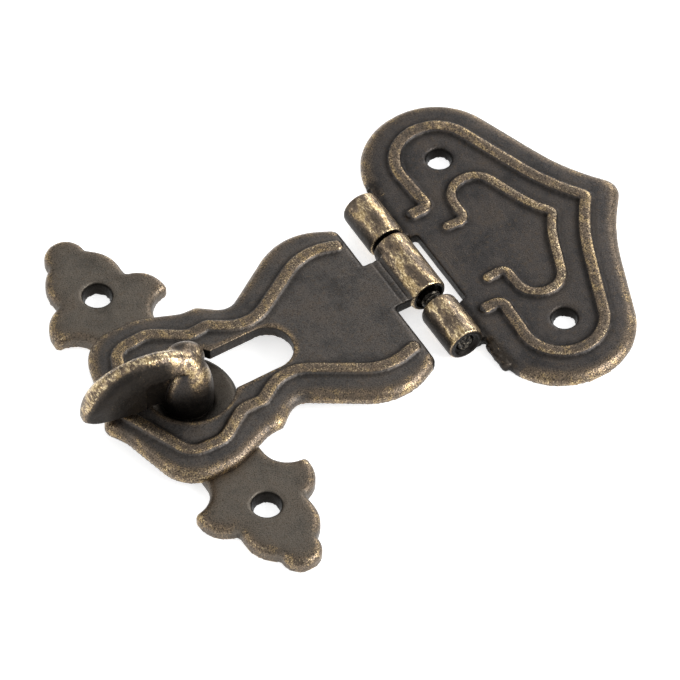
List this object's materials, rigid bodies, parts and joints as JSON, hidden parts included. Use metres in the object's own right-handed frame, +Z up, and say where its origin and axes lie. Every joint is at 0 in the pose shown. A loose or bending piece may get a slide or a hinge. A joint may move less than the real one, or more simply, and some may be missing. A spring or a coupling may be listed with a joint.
{
  "type": "box hasp latch",
  "caption": "Decorative cast hasp latch for a box lid: shield-shaped hinge leaf, waisted keyhole strap, leafy keeper plate and a winged turn knob, with an aged bronze finish.",
  "frame": {"origin": "middle of the leaf's screw line, on the face that the leaf is screwed to", "axes": "+X from the strap's tip towards the leaf's point, +Y along the hinge pin, +Z up out of the mounting face"},
  "size_m": [0.0862, 0.0653, 0.0141],
  "materials": {
    "aged_bronze": "dark antique bronze patina, worn to gold on the raised edges",
    "knob_bronze": "dark antique bronze patina, polished by handling on its ridge",
    "pin_steel": "darkened steel"
  },
  "bodies": {
    "leaf": {"hinge_leaf": "aged_bronze", "hinge_pin": "pin_steel"},
    "strap": {"hasp_strap": "aged_bronze", "keeper_plate": "aged_bronze", "rivet_washer": "pin_steel"},
    "knob": {"turn_knob": "knob_bronze"}
  },
  "joints": [
    {"name": "strap_hinge", "type": "hinge", "parent": "leaf", "child": "strap", "pos_m": [-0.0145, 0, 0.0028], "axis": [0, 1, 0], "range_deg": [-90, 140]},
    {"name": "knob_turn", "type": "hinge", "parent": "strap", "child": "knob", "pos_m": [-0.0519, -0.0021, 0], "axis": [0, 0, 1], "continuous": true}
  ]
}
